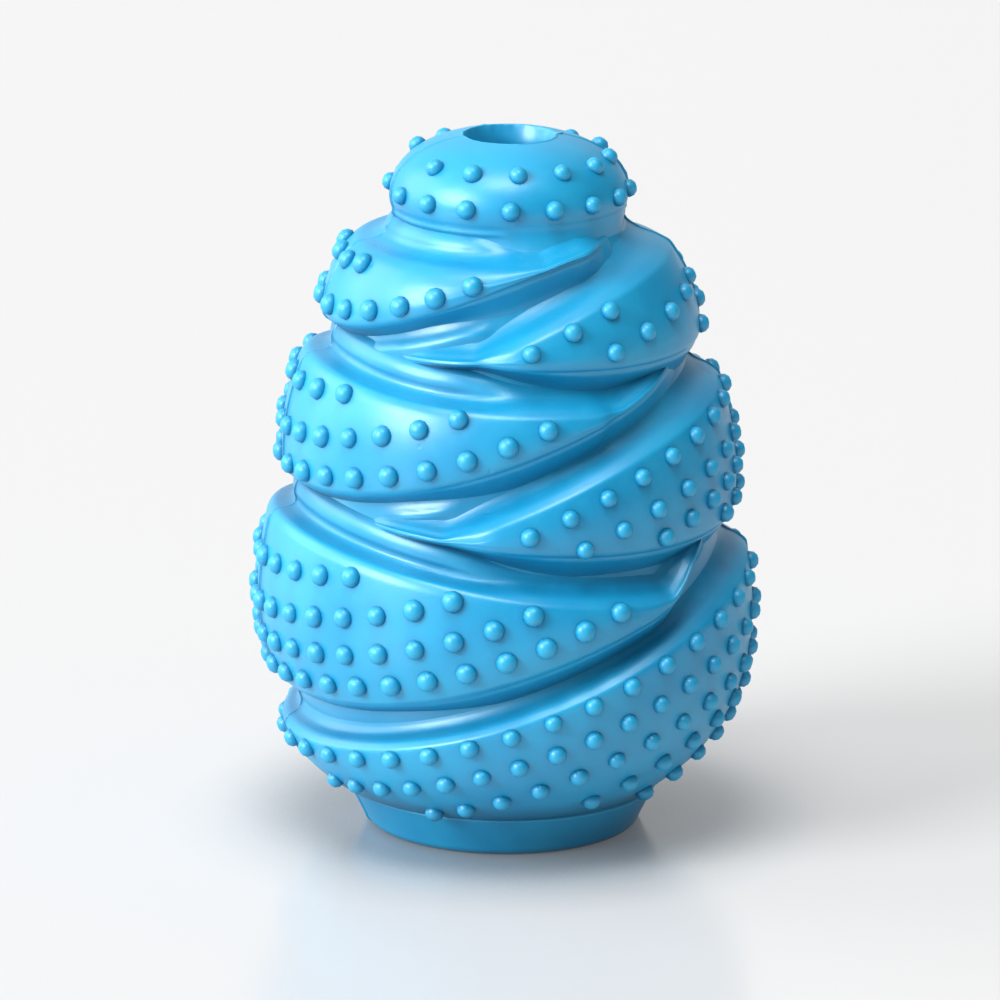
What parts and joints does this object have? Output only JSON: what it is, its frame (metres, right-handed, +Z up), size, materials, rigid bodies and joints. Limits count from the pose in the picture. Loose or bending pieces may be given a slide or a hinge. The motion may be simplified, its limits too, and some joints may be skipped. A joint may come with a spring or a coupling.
{
  "type": "rubber chew toy",
  "caption": "Egg-shaped hollow rubber chew toy with tapering raised bands, rounded nubs, a top hole, a treat chamber and a plain foot.",
  "frame": {"origin": "centre of the foot's flat underside, on the ground", "axes": "+Z up through the top hole, the mould's parting plane is XZ, the camera of the picture looks roughly along +Y"},
  "size_m": [0.0722, 0.0724, 0.1],
  "materials": {
    "band_rubber": "satin moulded natural rubber, sky blue",
    "groove_rubber": "satin moulded natural rubber, sky blue, smoother in the grooves",
    "crown_rubber": "satin moulded natural rubber, sky blue, trimmed at the hole rim",
    "nub_rubber": "satin moulded natural rubber, sky blue, slightly frosted on the domes"
  },
  "bodies": {
    "root": {"foot_ring": "groove_rubber", "chamber_floor": "groove_rubber", "core_lower": "groove_rubber", "core_middle": "groove_rubber", "core_upper": "groove_rubber", "crown": "crown_rubber", "upper_left_band": "band_rubber", "upper_right_band": "band_rubber", "middle_left_band": "band_rubber", "middle_right_band": "band_rubber", "lower_left_band": "band_rubber", "base_band": "band_rubber", "crown_nubs": "nub_rubber", "upper_left_nubs": "nub_rubber", "upper_right_nubs": "nub_rubber", "middle_left_nubs": "nub_rubber", "middle_right_nubs": "nub_rubber", "lower_left_nubs": "nub_rubber", "base_nubs": "nub_rubber"}
  },
  "joints": []
}
